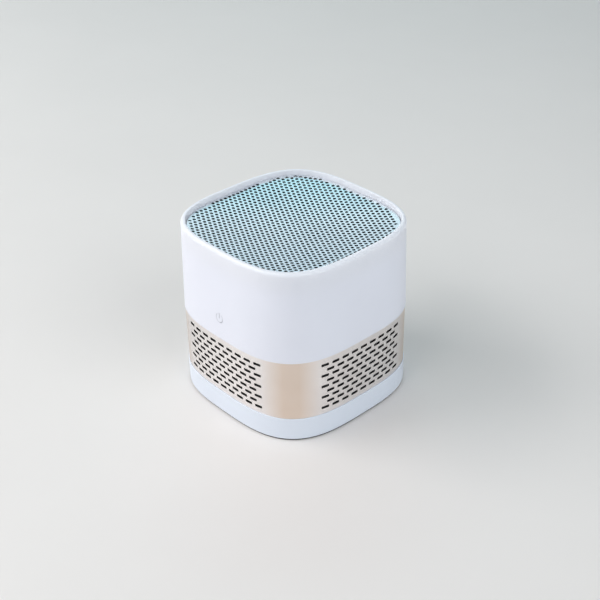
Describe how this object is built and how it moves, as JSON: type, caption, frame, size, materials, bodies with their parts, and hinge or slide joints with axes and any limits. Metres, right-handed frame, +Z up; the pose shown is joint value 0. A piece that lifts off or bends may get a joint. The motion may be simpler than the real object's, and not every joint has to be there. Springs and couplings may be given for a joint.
{
  "type": "desktop air purifier",
  "caption": "Palm-sized rounded-square desktop air purifier: slotted metal intake band, white shells, dished perforated outlet grille, fan and lift-out cartridge inside.",
  "frame": {"origin": "centre of the underside, on the surface it stands on", "axes": "+Z up out of the outlet grille, -Y to the front face with the touch key, +Y to the supply inlet"},
  "size_m": [0.0904, 0.0904, 0.0855],
  "materials": {
    "shell_white": "smooth semi-gloss moulding",
    "band_gold": "champagne anodised, satin",
    "grille_metal": "pale anodised, satin",
    "foot_rubber": "matt",
    "structure_black": "moulded",
    "seat_white": "moulded",
    "mesh_black": "woven mesh",
    "honeycomb_dark": "coated, matt",
    "tab_teal": "woven ribbon",
    "board_green": "solder mask",
    "board_white": "solder mask",
    "chip_black": "moulded",
    "capacitor_can": "bright can",
    "header_nylon": "natural nylon",
    "screw_steel": "zinc plated",
    "bright_steel": "polished",
    "copper": "bare copper",
    "core_steel": "laminated",
    "magnet_grey": "bonded ferrite",
    "led_lens": "clear lens",
    "lead_red": "insulated",
    "lead_white": "insulated",
    "lead_black": "insulated"
  },
  "bodies": {
    "housing": {"foot_ring": "foot_rubber", "base_shell": "shell_white", "base_screws": "screw_steel", "main_pcb": "board_green", "pcb_screws": "screw_steel", "pcb_chips": "chip_black", "capacitors": "capacitor_can", "power_inductor": "chip_black", "wire_headers": "header_nylon", "usb_socket": "bright_steel", "usb_tongue": "chip_black", "intake_band": "band_gold", "dust_mesh": "mesh_black", "mesh_frame": "structure_black", "chassis": "structure_black", "shell_screws": "screw_steel", "upper_shell": "shell_white", "touch_pad": "copper", "touch_board": "board_green", "status_led": "led_lens", "fan_pads": "foot_rubber", "fan_frame": "structure_black", "fan_board": "board_green", "stator_core": "core_steel", "stator_coils": "copper", "fan_bearings": "bright_steel", "cartridge_seat": "seat_white", "fan_screws": "screw_steel", "uv_board": "board_white", "uv_leds": "led_lens", "fan_lead": "lead_red", "lamp_lead": "lead_white", "touch_lead": "lead_black"},
    "rotor": {"fan_rotor": "structure_black", "fan_magnet": "magnet_grey", "fan_shaft": "bright_steel"},
    "cartridge": {"cartridge_frame": "structure_black", "honeycomb": "honeycomb_dark", "pull_tab": "tab_teal"},
    "grille": {"grille_frame": "grille_metal", "top_grille": "grille_metal"}
  },
  "joints": [
    {"name": "fan_spin", "type": "hinge", "parent": "housing", "child": "rotor", "pos_m": [0, 0, 0.0535], "axis": [0, 0, 1], "continuous": true},
    {"name": "grille_lift", "type": "slide", "parent": "housing", "child": "grille", "axis": [0, 0, 1], "range_m": [0, 0.045]},
    {"name": "cartridge_lift", "type": "slide", "parent": "housing", "child": "cartridge", "axis": [0, 0, 1], "range_m": [0, 0.028]}
  ],
  "couplings": [
    {"joint": "cartridge_lift", "follows": "grille_lift", "ratio": 0.6}
  ]
}
